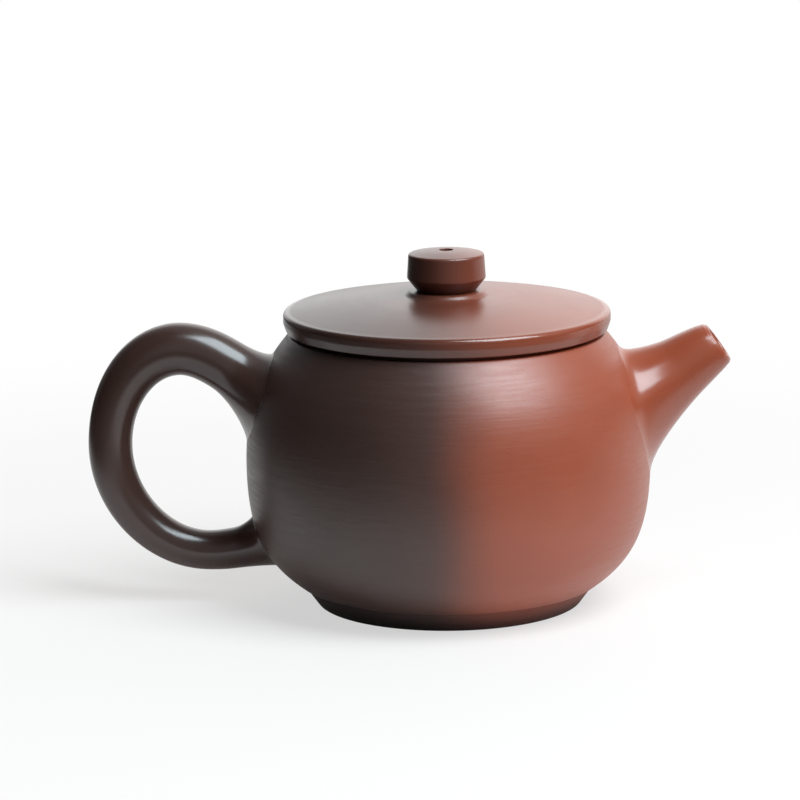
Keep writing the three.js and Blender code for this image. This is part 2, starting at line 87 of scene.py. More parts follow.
# A closed outline with every corner eased by a running average with a bell's weights, then respaced so
# that its points lie closer together where it turns.
def easedOutline(corners, edge, rows):
    ring = np.vstack([corners, corners[:1]])
    steps = np.hypot(*np.diff(ring, axis=0).T)
    keep = np.append(True, steps > 1e-6)
    ring, along = ring[keep], np.append(0, np.cumsum(steps))[keep]
    count = int(along[-1] / outlineStep)
    even = np.linspace(0, along[-1], count, endpoint=False)
    dense = np.stack([np.interp(even, along, ring[:, axis]) for axis in (0, 1)], -1)
    spacing = along[-1] / count
    reach = (np.arange(count) - count // 2) * spacing
    bell = np.exp(-0.5 * (reach / (edge * bellShare)) ** 2)
    bell = np.fft.ifftshift(bell / bell.sum())
    soft = np.fft.ifft(np.fft.fft(dense, axis=0) * np.fft.fft(bell)[:, None], axis=0).real
    way = np.roll(soft, -1, 0) - np.roll(soft, 1, 0)
    turn = np.unwrap(np.arctan2(way[:, 1], way[:, 0]))
    bend = np.abs(np.gradient(turn))
    weight = np.cumsum(bend + evenShare / count)
    places = np.linspace(weight[0], weight[-1], rows, endpoint=False)
    return np.stack([np.interp(places, weight, soft[:, axis]) for axis in (0, 1)], -1)


# An outline of radius and height, turned about the pot's axis.
def turned(outline, columns):
    angle = np.arange(columns) / columns * 2 * np.pi
    radius, height = outline[:, 0, None], outline[:, 1, None]
    flat = height + 0 * angle
    return np.stack([radius * np.cos(angle), radius * np.sin(angle), flat], -1)


# A closed skin over a grid of points: rows along it, columns round it. As a ring, its last row joins its
# first, and otherwise each end is closed with a fan to its middle.
def skinMesh(name, grid, asRing):
    rows, columns = grid.shape[:2]
    points = grid.reshape(-1, 3)
    row = np.arange(rows if asRing else rows - 1)[:, None] * columns
    beyond = (row + columns) % (rows * columns)
    column = np.arange(columns)[None, :]
    beside = (column + 1) % columns
    faces = np.stack([row + column, row + beside, beyond + beside, beyond + column], -1)
    faces = faces.reshape(-1, 4).tolist()
    if not asRing:
        ends = np.stack([grid[0].mean(0), grid[-1].mean(0)])
        first, last = len(points), len(points) + 1
        points = np.vstack([points, ends])
        edge = column[0]
        fan = np.stack([np.full(columns, first), beside[0], edge], -1)
        lastRow = (rows - 1) * columns
        faces += fan.tolist()
        faces += np.stack([np.full(columns, last), lastRow + edge, lastRow + beside[0]], -1).tolist()
    mesh = bpy.data.meshes.new(name)
    placed = (points + [potAxis, 0, 0]) * 0.001
    mesh.from_pydata(placed.tolist(), [], faces)
    # Each face's normal times its place adds up to the volume, whose sign says which way the faces look.
    a, b, c, d = grid[:-1], grid[1:], np.roll(grid[1:], -1, 1), np.roll(grid[:-1], -1, 1)
    volume = (np.cross(c - a, b - d) * (a + b + c + d)).sum()
    if volume < 0:
        mesh.flip_normals()
    mesh.shade_smooth()
    mesh.update()
    return mesh


# A ring with this outline of radius and height, its corners eased, turned about the pot's axis.
def turnedMesh(name, corners, shape):
    outline = easedOutline(np.array(corners), shape["edge"], shape["rows"])
    return skinMesh(name, turned(outline, shape["columns"]), True)


# Puts a piece into the scene, on its body and in place of these solids.
def addPiece(name, mesh, nodes, body, material):
    piece = bpy.data.objects.new(name, mesh)
    bpy.context.scene.collection.objects.link(piece)
    mesh.materials.clear()
    mesh.materials.append(material)
    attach(piece, body)
    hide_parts(*nodes.split())
    return piece


sharpAngle = 35  # degrees; a carved edge that turns by more stays crisp


# The first mesh with the others cut out of it, or only what it shares with them.
def carved(mesh, cutters, operation="DIFFERENCE"):
    whole = bpy.data.objects.new("carving", mesh)
    bpy.context.scene.collection.objects.link(whole)
    helpers = []
    for cutter in cutters:
        helper = bpy.data.objects.new("cutter", cutter)
        bpy.context.scene.collection.objects.link(helper)
        modifier = whole.modifiers.new("cut", "BOOLEAN")
        modifier.object = helper
        modifier.operation = operation
        modifier.solver = "EXACT"
        helpers.append(helper)
    graph = bpy.context.evaluated_depsgraph_get()
    result = bpy.data.meshes.new_from_object(whole.evaluated_get(graph))
    for thing in [whole] + helpers:
        bpy.data.objects.remove(thing)
    result.set_sharp_from_angle(angle=math.radians(sharpAngle))
    return result


# A socket that takes part in sums. Each operator adds its Math node.
class Wire:
    def __init__(self, tree, socket):
        self.tree = tree
        self.socket = socket

    def sum(self, operation, *others):
        return self.tree.add("ShaderNodeMath", {"operation": operation}, [self, *others])

    def __add__(self, other):
        return self.sum("ADD", other)

    def __radd__(self, other):
        return self.sum("ADD", other)

    def __sub__(self, other):
        return self.sum("SUBTRACT", other)

    def __rsub__(self, other):
        return self.tree.add("ShaderNodeMath", {"operation": "SUBTRACT"}, [other, self])

    def __mul__(self, other):
        return self.sum("MULTIPLY", other)

    def __rmul__(self, other):
        return self.sum("MULTIPLY", other)

    def power(self, other):
        return self.sum("POWER", other)

    # 0 below the low value, 1 above the high one, eased between
    def eased(self, low, high):
        settings = {"interpolation_type": "SMOOTHSTEP"}
        return self.tree.add("ShaderNodeMapRange", settings, [self, low, high, 0.0, 1.0])


# A node tree that is written as expressions.
class Tree:
    def __init__(self, owner):
        owner.use_nodes = True
        self.nodes = owner.node_tree.nodes
        self.links = owner.node_tree.links
        self.nodes.clear()

    # Adds a node: its settings first, then its sockets in order or by name.
    def node(self, kind, settings=None, sockets=None):
        node = self.nodes.new(kind)
        for name, value in (settings or {}).items():
            setattr(node, name, value)
        pairs = sockets.items() if isinstance(sockets, dict) else enumerate(sockets or [])
        for key, value in pairs:
            if isinstance(value, Wire):
                self.links.new(value.socket, node.inputs[key])
            elif value is not None:
                node.inputs[key].default_value = value
        return node

    def add(self, kind, settings=None, sockets=None, output=0):
        return Wire(self, self.node(kind, settings, sockets).outputs[output])

    def mixColour(self, share, low, high):
        node = self.node("ShaderNodeMix", {"data_type": "RGBA"})
        for name, value in (("Factor_Float", share), ("A_Color", low), ("B_Color", high)):
            socket = next(one for one in node.inputs if one.identifier == name)
            if isinstance(value, Wire):
                self.links.new(value.socket, socket)
            else:
                socket.default_value = value
        output = next(one for one in node.outputs if one.identifier == "Result_Color")
        return Wire(self, output)


# A written colour, from 0 to 255, as the shader's linear one.
def colourOf(red, green, blue):
    values = np.array([red, green, blue]) / 255
    linear = np.where(values <= 0.04045, values / 12.92, ((values + 0.055) / 1.055) ** 2.4)
    return (*linear.tolist(), 1.0)


clayValues = {
    "darkClay": (68, 48, 43),
    "redClay": (160, 78, 53),
    "seamOffset": 3.2,  # mm from the pot's axis to the middle of the change of colour
    "seamWidth": 16.0,  # mm
    "seamWander": 2.0,  # mm that it strays to either side
    "tailWidth": 44.0,  # mm; the change has faint tails this wide, which make up this share of it
    "tailShare": 0.2,
    "tailOffset": -2.0,  # mm from the middle of the change to the middle of its tails
    "cloudSize": 24.0,  # mm, of the slow drift in colour and sheen
    "blotchSize": 7.0,  # mm, of the mottling
    "roughness": 0.4,
    "roughnessDrift": 0.05,
    "refraction": 1.64,
    "grainSize": 0.35,  # mm
    "grainDepth": 0.006,
    "grainShade": 0.1,
    "speckScale": 2.2,  # the size of the sheen's specks against the grain's
    "ringSize": 0.5,  # mm between the polishing lines
    "ringDepth": 0.025,
    "ringStretch": 0.05,  # how fast a line changes along its way, against across it
    "ringSlant": 0.37,  # how much the lines follow the radius, which parts them on level clay
    "speckShine": 0.08,  # how much the sheen changes from speck to speck, and from line to line
    "streakShine": 0.22,
    "mottle": 0.05,
    # Below 1, this darkens the colour evenly: painted shade.
    "shade": 1.0,
    # Painted shade that darkens a piece towards its bottom:
    "paintedShadeBelow": (0, 1, 1.0),  # between these heights, in mm, the colour fades in from this share
    "rimPolish": 0.0,  # how much smoother the lid's upper edge is
    "rimInside": (1.8, 0.8),  # mm inside the lid's widest line, between which that fades in
    "rimAbove": (2.6, 3.3),  # mm above the lid's lower face, the same
}


# The clay: two colours that change softly along the pot's length, with faint wide tails, a fine grain,
# faint marks of polishing that run round the pot, and a satin burnish that drifts a little. Some pieces
# are also darkened with painted shade, evenly or towards their bottom.
def clayFinish(name, changes=None):
    values = {**clayValues, **(changes or {})}
    material = bpy.data.materials.new(name)
    tree = Tree(material)
    place = tree.add("ShaderNodeTexCoord", output=3)
    parts = tree.node("ShaderNodeSeparateXYZ", None, [place])
    x, y, z = [Wire(tree, socket) for socket in parts.outputs]

    def noise(vector, size, detail, roughness=0.5):
        sockets = {"Vector": vector, "Scale": 1000 / size, "Detail": detail, "Roughness": roughness}
        return tree.add("ShaderNodeTexNoise", {"noise_dimensions": "3D"}, sockets)

    cloud = noise(place, values["cloudSize"], 2.0)
    blotch = noise(place, values["blotchSize"], 3.0)
    grain = noise(place, values["grainSize"], 2.0, 0.6)
    speck = noise(place, values["grainSize"] * values["speckScale"], 1.0)
    across = x * 1000 - potAxis - values["seamOffset"] + (cloud - 0.5) * (2 * values["seamWander"])
    tailHalf, seamHalf = values["tailWidth"] / 2, values["seamWidth"] / 2
    tail = across.eased(values["tailOffset"] - tailHalf, values["tailOffset"] + tailHalf)
    redness = across.eased(-seamHalf, seamHalf)
    redness = redness * (1 - values["tailShare"]) + tail * values["tailShare"]
    colour = tree.mixColour(redness, colourOf(*values["darkClay"]), colourOf(*values["redClay"]))
    shade = values["shade"] + (blotch - 0.5) * (2 * values["mottle"])
    shade = shade + (grain - 0.5) * values["grainShade"]
    # Painted shade: darker below the low height, down to the least share.
    low, high, least = values["paintedShadeBelow"]
    if least < 1:
        shade = shade * (z.eased(low * 0.001, high * 0.001) * (1 - least) + least)
    colour = tree.add("ShaderNodeVectorMath", {"operation": "SCALE"}, {"Vector": colour, "Scale": shade})
    roughness = values["roughness"] + (cloud - 0.5) * (2 * values["roughnessDrift"])
    roughness = roughness + (speck - 0.5) * values["speckShine"]
    relief = grain * values["grainDepth"]
    if values["ringDepth"]:
        beside = x - potAxis * 0.001
        radius = (beside * beside + y * y).power(0.5)
        level = z + radius * values["ringSlant"]
        stretch = values["ringStretch"]
        streakPlace = tree.add("ShaderNodeCombineXYZ", None, [x * stretch, y * stretch, level])
        streaks = noise(streakPlace, values["ringSize"], 2.0)
        relief = relief + streaks * values["ringDepth"]
        roughness = roughness + (streaks - 0.5) * values["streakShine"]
        if values["rimPolish"]:
            far, near = values["rimInside"]
            below, above = values["rimAbove"]
            atRim = radius.eased((lidRadius - far) * 0.001, (lidRadius - near) * 0.001)
            atRim = atRim * z.eased((lidBottom + below) * 0.001, (lidBottom + above) * 0.001)
            roughness = roughness * (1 - atRim * values["rimPolish"])
    bump = tree.add("ShaderNodeBump", None, {"Strength": 1.0, "Distance": 0.001, "Height": relief})
    shader = tree.add(
        "ShaderNodeBsdfPrincipled",
        None,
        {"Base Color": colour, "Roughness": roughness, "IOR": values["refraction"], "Normal": bump},
    )
    tree.node("ShaderNodeOutputMaterial", None, {"Surface": shader})
    return material


turnedClay = clayFinish("turned_clay")
rolledClay = clayFinish("rolled_clay", {"ringDepth": 0, "roughness": 0.22, "grainDepth": 0.004})
# The lid is polished smoother, most of all on its upper edge. Its colour is also darkened, as painted
# shade against the extra light that its upturned face catches.
lidValues = {
    "seamWidth": 24,
    "tailWidth": 60,
    "tailShare": 0.5,
    "shade": 0.85,
    "roughness": 0.3,
    "ringDepth": 0.003,
    "speckShine": 0.0,
    "streakShine": 0.04,
    "mottle": 0.07,
    "rimPolish": 0.5,
}
# The knob's cone is darkened in its colour from the collar up: painted shade under the knob's widest
# line.
knobPaintedShade = (collarTop, collarTop + 3.2, 0.45)  # the knob's cone lies in its own shade
lidClay = clayFinish("lid_clay", lidValues)
knobClay = clayFinish("knob_clay", {**lidValues, "paintedShadeBelow": knobPaintedShade})
# The foot's colour is darkened all over and most at the bottom: painted shade for the shadow it stands
# in where it meets the floor.
footClay = clayFinish("foot_clay", {"roughness": 0.6, "shade": 0.6, "paintedShadeBelow": (0, footHeight, 0.3)})
print("clay finishes made")

bellyShape = {
    "footRadius": 31.5,
    "waistRise": 25.5,
    "mouthRadius": 32.9,
    "wall": 3.0,
    "lowerAngle": 35.9,
    "shoulderAngle": 49.1,
    "lowerPulls": (8.3, 15.5),
    "upperPulls": (12.9, 9.5),
    "ledgeThickness": 1.6,
    "ledgeSlope": 1.6,
    "ledgeReach": 1.8,
    "seatGap": 0.3,
    "edge": 0.3,
    "columns": 256,
    "rows": 220,
}


# The belly's outer line, from the foot over the widest line to the mouth: two cubic curves.
def bellyLine(steps):
    shape = bellyShape
    waist = footHeight + shape["waistRise"]
    rise, fall = math.radians(shape["lowerAngle"]), math.radians(shape["shoulderAngle"])
    foot, mouth = shape["footRadius"], shape["mouthRadius"]
    low, high = shape["lowerPulls"], shape["upperPulls"]
    lower = [
        (foot, footHeight),
        (foot + low[0] * math.cos(rise), footHeight + low[0] * math.sin(rise)),
        (bellyRadius, waist - low[1]),
        (bellyRadius, waist),
    ]
    upper = [
        (bellyRadius, waist),
        (bellyRadius, waist + high[0]),
        (mouth + high[1] * math.cos(fall), mouthHeight - high[1] * math.sin(fall)),
        (mouth, mouthHeight),
    ]
    t = np.linspace(0, 1, steps)
    return np.vstack([cubicCurve(lower, t), cubicCurve(upper, t)[1:]])


fineBelly = bellyLine(400)
bellyWay = np.gradient(fineBelly, axis=0)
bellySlope = np.arctan2(bellyWay[:, 1], bellyWay[:, 0])


# The belly's inner line, between its floor and its ledge: the outer line moved inwards along its normal.
def innerLine(distance):
    length = np.hypot(*bellyWay.T)[:, None]
    inner = fineBelly + np.stack([-bellyWay[:, 1], bellyWay[:, 0]], -1) / length * distance
    underLedge = mouthRingBottom - bellyShape["ledgeThickness"] - bellyShape["ledgeSlope"]
    inside = (inner[:, 0] > baseRadius + bellyShape["seatGap"]) & (inner[:, 1] < underLedge)
    return inner[inside]


# The belly's wall with its ledge for the mouth ring, and with the spout's bore cut out of it.
def bellyMesh(bore):
    shape = bellyShape
    rebate = mouthRingRadius + shape["seatGap"]
    ledgeEdge = rebate - shape["ledgeReach"]
    ledge = [
        (rebate, mouthHeight),
        (rebate, mouthRingBottom),
        (ledgeEdge, mouthRingBottom),
        (ledgeEdge, mouthRingBottom - shape["ledgeThickness"]),
    ]
    foot = [(baseRadius + shape["seatGap"], footHeight)]
    outline = np.vstack([fineBelly, ledge, innerLine(shape["wall"])[::-1], foot])
    return carved(turnedMesh("belly_skin", outline, shape), [bore])


# Where a root's edge lies on the belly, at each angle from its top, with the belly's outward normal.
def rootEdge(root, height, side, angle, share=1.0):
    def shaped(value):
        return np.sign(value) * np.abs(value) ** root["pointed"]

    reach = np.where(np.cos(angle) > 0, root["up"], root["down"])
    rise = shaped(np.cos(angle)) * reach * share
    wide = shaped(np.sin(angle)) * root["side"] * share
    level = height + rise
    radius = np.interp(level, fineBelly[:, 1], fineBelly[:, 0])
    slope = np.interp(level, fineBelly[:, 1], bellySlope)
    out = np.sqrt(radius**2 - wide**2)
    place = np.stack([side * out, wide, level], -1)
    outward = [side * out * np.sin(slope) / radius, wide * np.sin(slope) / radius, -np.cos(slope)]
    return place, np.stack(outward, -1)


nearShare = 0.9  # a root's outline at this share of its size gives the way inwards along the belly
skirtStep = 0.022  # each row of the skirt is larger by this share
skirtDepth = 0.03  # mm that the skirt lies under the belly's skin


# The fillet between a neck's last ring and the belly: each line of it is a cubic curve that leaves the
# neck along its way and meets the belly at the root's lift. A skirt runs on from there just under the
# belly's skin, so that easing the rows rounds the joint, and the last row lies inside the wall.
def rootRings(root, height, side, ring, way, angle, steps):
    place, outward = rootEdge(root, height, side, angle)
    nearer = rootEdge(root, height, side, angle, nearShare)[0]
    inward = nearer - place
    inward = inward / np.linalg.norm(inward, axis=1)[:, None]
    upper = ((1 + np.cos(angle)) / 2) ** 2

    def blended(name):
        low, high = root["below"][name], root["above"][name]
        return (low + (high - low) * upper)[:, None]

    lift = np.radians(blended("lift"))
    reach = blended("bellyPull")
    start = ring + way * blended("neckPull")
    end = place + inward * np.cos(lift) * reach + outward * np.sin(lift) * reach
    t = np.linspace(0, 1, steps)[1:]
    lines = cubicCurve([ring, start, end, place], t)
    skirt = []
    for row in range(1, root["skirt"] + 1):
        place, outward = rootEdge(root, height, side, angle, 1 + skirtStep * row)
        skirt.append(place - outward * skirtDepth)
    sunk = place - outward * root["sunk"]
    return np.concatenate([lines, np.stack(skirt), sunk[None]])


# A ring of points about a middle, square to a way that lies in the pot's upright plane.
def ringAbout(middle, way, radius, side, angle):
    up = np.stack([-way[..., 2] * side, 0 * way[..., 0], way[..., 0] * side], -1)
    radius = np.asarray(radius)[..., None, None]
    level = np.array([0.0, 1.0, 0.0])
    turn = np.cos(angle)[:, None] * up[..., None, :] + np.sin(angle)[:, None] * level
    return middle[..., None, :] + radius * turn


# Eases a grid along its rows, so that one part of a skin runs into the next without a kink.
def easedRows(grid, passes):
    for _ in range(passes):
        inner = (grid[:-2] + 2 * grid[1:-1] + grid[2:]) / 4
        grid = np.concatenate([grid[:1], inner, grid[-1:]])
    return grid


spoutShape = {
    "rise": 35.6,
    "reach": 14.25,
    "drop": 2.8,
    "boreRadius": 3.35,
    "boreFlare": 0.15,  # how much wider the bore gets with each mm behind the mouth
    "boreLength": 18.5,
    "behind": (0.0, 1.4, 5.0, 9.0),  # mm behind the mouth, with the neck's radius and lift there
    "radii": (4.6, 5.2, 5.95, 6.7),
    "lifts": (0.0, 0.12, 0.2, 0.2),
    "lip": 0.45,  # rounding of the mouth's edges
    "rootDrop": 14.2,
    "easing": 30,
    "rows": {"neck": 40, "root": 40, "lip": 8, "bore": 24},
    "columns": 144,
}
# Cut out of the belly's wall: the bore, wider by this margin, from before the mouth to inside the pot.
boreCutter = {"margin": 0.1, "reach": (-2, 30), "rows": 12, "columns": 96}
spoutRoot = {
    "up": 10.15,
    "down": 15.3,
    "side": 13.0,
    "pointed": 1.2,
    "skirt": 14,
    "sunk": 1.0,
    "above": {"lift": 30, "neckPull": 1.4, "bellyPull": 1.9},
    "below": {"lift": 11, "neckPull": 2.6, "bellyPull": 5.0},
}
spoutRise = math.radians(spoutShape["rise"])
spoutWay = np.array([math.cos(spoutRise), 0, math.sin(spoutRise)])
spoutUp = np.array([-spoutWay[2], 0, spoutWay[0]])
spoutTip = np.array([bellyRadius + spoutShape["reach"], 0, mouthHeight - spoutShape["drop"]])


# Rings of a straight round neck behind the spout's mouth, at distances along its way.
def spoutRings(behind, radius, lift, angle):
    behind = np.asarray(behind)[:, None]
    middle = spoutTip - spoutWay * behind + spoutUp * np.asarray(lift)[:, None]
    way = np.broadcast_to(spoutWay, middle.shape)
    return ringAbout(middle, way, radius, 1, angle)


# What the spout's bore cuts out of the belly.
def boreMesh():
    angle = np.arange(boreCutter["columns"]) / boreCutter["columns"] * 2 * np.pi
    behind = np.linspace(*boreCutter["reach"], boreCutter["rows"])
    radius = spoutShape["boreRadius"] + boreCutter["margin"] + spoutShape["boreFlare"] * behind
    return skinMesh("bore", spoutRings(behind, radius, 0 * behind, angle), False)


# The spout's skin: up its outside from inside the wall, round the lip and down the bore.
def spoutMesh():
    shape, rows = spoutShape, spoutShape["rows"]
    angle = np.arange(shape["columns"]) / shape["columns"] * 2 * np.pi
    behind = np.linspace(shape["lip"], shape["behind"][-1], rows["neck"])
    radius = np.interp(behind, shape["behind"], shape["radii"])
    lift = np.interp(behind, shape["behind"], shape["lifts"])
    neck = spoutRings(behind, radius, lift, angle)
    way = neck[-1] - neck[-2]
    way = way / np.linalg.norm(way, axis=1)[:, None]
    height = mouthHeight - shape["rootDrop"]
    root = rootRings(spoutRoot, height, 1, neck[-1], way, angle, rows["root"])
    outside = easedRows(np.concatenate([neck, root[:-1]]), shape["easing"])
    lip, lipAngle = shape["lip"], np.linspace(0, np.pi / 2, rows["lip"])
    outerLip = shape["radii"][0] - lip + lip * np.cos(lipAngle)
    innerLip = shape["boreRadius"] + lip - lip * np.sin(lipAngle)
    rounded = np.concatenate(
        [
            spoutRings(lip - lip * np.sin(lipAngle), outerLip, 0 * lipAngle, angle)[1:],
            spoutRings(lip - lip * np.cos(lipAngle), innerLip, 0 * lipAngle, angle)[1:],
        ]
    )
    inner = np.linspace(lip, shape["boreLength"], rows["bore"])
    bore = spoutRings(inner, shape["boreRadius"] + shape["boreFlare"] * inner, 0 * inner, angle)
    grid = np.concatenate([root[-1:], outside[::-1], rounded, bore[1:]])
    return skinMesh("spout_skin", grid, True)


bellySkin = bellyMesh(boreMesh())
addPiece("belly_skin", bellySkin, "belly_lower belly_upper", "pot", turnedClay)
print("belly turned")
addPiece("spout_skin", spoutMesh(), "spout", "pot", rolledClay)
print("spout drawn")

handleShape = {
    "fingerGap": 23.9,
    "back": {"thickness": 9.2, "drop": 23.7},
    "crown": {"thickness": 11.0, "drop": 3.05, "out": 13.3, "fullness": 0.56},
    "floor": {"thickness": 8.3, "rise": 6.5, "out": 7.9, "fullness": 0.53},
    "upperNeck": {"out": 4.05, "drop": 6.5, "angle": -33, "thickness": 11.2},
    "lowerNeck": {"out": 2.75, "rise": 6.9, "angle": 9, "thickness": 8.6},
    "upperRootDrop": 12.6,
    "lowerRootRise": 8.1,
    "easing": 8,
    "rows": (14, 70, 60, 10),
    "rootRows": (26, 20),
    "columns": 96,
}
upperRoot = {
    "up": 8.0,
    "down": 9.8,
    "side": 11.6,
    "pointed": 1.15,
    "skirt": 6,
    "sunk": 1.0,
    "above": {"lift": 58, "neckPull": 3.5, "bellyPull": 1.9},
    "below": {"lift": 16, "neckPull": 3.6, "bellyPull": 3.4},
}
lowerRoot = {
    "up": 5.6,
    "down": 5.0,
    "side": 6.2,
    "pointed": 1.1,
    "skirt": 6,
    "sunk": 1.0,
    "above": {"lift": 60, "neckPull": 1.5, "bellyPull": 2.5},
    "below": {"lift": 34, "neckPull": 1.6, "bellyPull": 1.4},
}


# The handle's middle line: a neck, two elliptical quarters and a neck, each a cubic curve, with its
# thickness eased from one end of each to the other.
def handleMesh():
    shape = handleShape
    back, crown, floor = shape["back"], shape["crown"], shape["floor"]
    upper, lower = shape["upperNeck"], shape["lowerNeck"]

    def rising(degrees):
        return np.array([math.cos(math.radians(degrees)), 0, math.sin(math.radians(degrees))])

    backX = -bellyRadius - shape["fingerGap"] - back["thickness"] / 2
    backPlace = np.array([backX, 0, mouthHeight - back["drop"]])
    crownPlace = np.array([-bellyRadius - crown["out"], 0, mouthHeight - crown["drop"]])
    floorPlace = np.array([-bellyRadius - floor["out"], 0, footHeight + floor["rise"]])
    upperPlace = np.array([-bellyRadius - upper["out"], 0, mouthHeight - upper["drop"]])
    lowerPlace = np.array([-bellyRadius - lower["out"], 0, footHeight + lower["rise"]])
    outwards, inwards, down = np.array([-1.0, 0, 0]), np.array([1.0, 0, 0]), np.array([0, 0, -1.0])
    upperPull = np.linalg.norm(upperPlace - crownPlace) / 3
    lowerPull = np.linalg.norm(lowerPlace - floorPlace) / 3
    crownSpan = np.abs(crownPlace - backPlace) * crown["fullness"]
    floorSpan = np.abs(floorPlace - backPlace) * floor["fullness"]
    legs = [
        (upperPlace, -rising(upper["angle"]) * upperPull, outwards * upperPull, crownPlace),
        (crownPlace, outwards * crownSpan[0], down * crownSpan[2], backPlace),
        (backPlace, down * floorSpan[2], inwards * floorSpan[0], floorPlace),
        (floorPlace, inwards * lowerPull, rising(lower["angle"]) * lowerPull, lowerPlace),
    ]
    thickness = [part["thickness"] for part in (upper, crown, back, floor, lower)]
    places, radii = [], []
    for leg, count, first, last in zip(legs, shape["rows"], thickness, thickness[1:]):
        start, startPull, endPull, end = leg
        t = np.linspace(0, 1, count, endpoint=False)
        places.append(cubicCurve([start, start + startPull, end - endPull, end], t))
        radii.append((first + (last - first) * t**2 * (3 - 2 * t)) / 2)
    middle = np.vstack(places + [lowerPlace[None]])
    radius = np.append(np.concatenate(radii), lower["thickness"] / 2)
    way = np.gradient(middle, axis=0)
    way = way / np.linalg.norm(way, axis=1)[:, None]
    angle = np.arange(shape["columns"]) / shape["columns"] * 2 * np.pi
    rings = ringAbout(middle, way, radius, -1, angle)
    topHeight = mouthHeight - shape["upperRootDrop"]
    footPlace = footHeight + shape["lowerRootRise"]
    topRows, footRows = shape["rootRows"]
    top = rootRings(upperRoot, topHeight, -1, rings[0], -way[0], angle, topRows)
    foot = rootRings(lowerRoot, footPlace, -1, rings[-1], way[-1], np.pi - angle, footRows)
    whole = easedRows(np.concatenate([top[-2::-1], rings, foot[:-1]]), shape["easing"])
    return skinMesh("handle_skin", np.concatenate([top[-1:], whole, foot[-1:]]), False)


addPiece("handle_skin", handleMesh(), "handle", "pot", rolledClay)
print("handle pulled")

footShape = {"step": 0.6, "taper": 3.2, "width": 3.6, "edge": 0.35, "rows": 64, "columns": 192}


# The foot ring, which tapers towards the table.
def footMesh():
    outerBottom = footRadius - footShape["taper"]
    innerBottom = outerBottom - footShape["width"]
    outline = [
        (innerBottom, 0),
        (outerBottom, 0),
        (footRadius, footHeight),
        (innerBottom + footShape["step"], footHeight),
    ]
    return turnedMesh("foot_skin", outline, footShape)


baseShape = {"edge": 0.3, "edgeRows": 8, "middle": 4, "flatRows": 12, "columns": 160}


# The pot's floor: a flat disc with a rounded edge.
def baseMesh():
    edge, rows = baseShape["edge"], baseShape["flatRows"]
    t = np.linspace(0, np.pi / 2, baseShape["edgeRows"])
    rim = np.stack([baseRadius - edge + edge * np.sin(t), baseTop - edge + edge * np.cos(t)], -1)
    under = np.stack([rim[::-1, 0], footHeight + baseTop - rim[::-1, 1]], -1)
    flat = np.linspace(baseShape["middle"], baseRadius - 2 * edge, rows)
    top = np.stack([flat, np.full(rows, baseTop)], -1)
    bottom = np.stack([flat[::-1], np.full(rows, footHeight)], -1)
    outline = np.vstack([top, rim, under, bottom])
    return skinMesh("base_skin", turned(outline, baseShape["columns"]), False)


addPiece("foot_skin", footMesh(), "foot_ring", "pot", footClay)
addPiece("base_skin", baseMesh(), "base_disc", "pot", turnedClay)

mouthShape = {"width": 2.8, "edge": 0.3, "rows": 64, "columns": 192}


# The ring in the mouth that the lid rests on.
def mouthMesh():
    inner = mouthRingRadius - mouthShape["width"]
    outline = [
        (inner, mouthRingBottom),
        (mouthRingRadius, mouthRingBottom),
        (mouthRingRadius, lidBottom),
        (inner, lidBottom),
    ]
    return turnedMesh("mouth_skin", outline, mouthShape)


addPiece("mouth_skin", mouthMesh(), "mouth_ring", "pot", turnedClay)

lidShape = {
    "edgeHeight": 3.0,
    "undercut": (0.6, 1.8),  # mm inwards at the bottom, and mm high
    "edgeRound": 1.0,
    "domeRise": 3.1,
    "thickness": 3.2,
    "hollowRise": 0.3,
    "seatMargin": 0.4,
    "ventRadius": 1.45,
    "edge": 0.3,
    "rimRows": 16,
    "domeRows": 60,
    "rows": 200,
    "columns": 256,
}
flangeShape = {"width": 2.8, "lead": 0.7, "edge": 0.3, "rows": 64, "columns": 192}


# The lid's plate: an upright edge that is undercut below and rounded above, a low dome that rises as a
# quarter of a sine wave to a flat seat, and a hollow underside.
def lidMesh():
    shape, edge = lidShape, lidShape["edgeRound"]
    edgeTop = lidBottom + shape["edgeHeight"]
    seatRadius = collarRadius + shape["seatMargin"]
    start = lidRadius - edge
    flangeInner = flangeRadius - flangeShape["width"]
    turn = np.linspace(0, np.pi / 2, shape["rimRows"])
    rim = np.stack([start + edge * np.cos(turn), edgeTop + edge * np.sin(turn)], -1)
    share = np.linspace(0, 1, shape["domeRows"])[1:]
    domeRadius = start + (seatRadius - start) * share
    domeHeight = edgeTop + edge + shape["domeRise"] * np.sin(share * np.pi / 2)
    dome = np.stack([domeRadius, domeHeight], -1)
    under = np.linspace(shape["ventRadius"], flangeInner, shape["domeRows"])
    fall = np.clip((start - under) / (start - seatRadius), 0, 1)
    ceiling = edgeTop + edge + shape["domeRise"] * np.sin(fall * np.pi / 2) - shape["thickness"]
    hollow = np.stack([under, np.maximum(ceiling, lidBottom + shape["hollowRise"])], -1)
    outline = np.vstack(
        [
            [(flangeInner, lidBottom), (lidRadius - shape["undercut"][0], lidBottom)],
            [(lidRadius, lidBottom + shape["undercut"][1])],
            rim,
            dome,
            [(shape["ventRadius"], lidSeat)],
            hollow,
        ]
    )
    return turnedMesh("lid_skin", outline, shape)


# The collar under the lid that keeps it in the mouth, with a slanted lead-in.
def flangeMesh():
    inner = flangeRadius - flangeShape["width"]
    outline = [
        (inner, flangeBottom),
        (flangeRadius - flangeShape["lead"], flangeBottom),
        (flangeRadius, flangeBottom + flangeShape["lead"]),
        (flangeRadius, lidBottom),
        (inner, lidBottom),
    ]
    return turnedMesh("flange_skin", outline, flangeShape)


collarShape = {"swell": 1.3, "sideRows": 24, "edge": 0.22, "rows": 80, "columns": 160}
knobShape = {
    "footRadius": 6.1,
    "underHeight": 2.7,
    "sideHeight": 5.1,
    "sideTaper": 0.3,
    "edgeRound": 0.5,
    "crown": 0.7,
    "rimRows": 12,
    "crownRows": 24,
    "edge": 0.22,
    "rows": 120,
    "columns": 160,
}


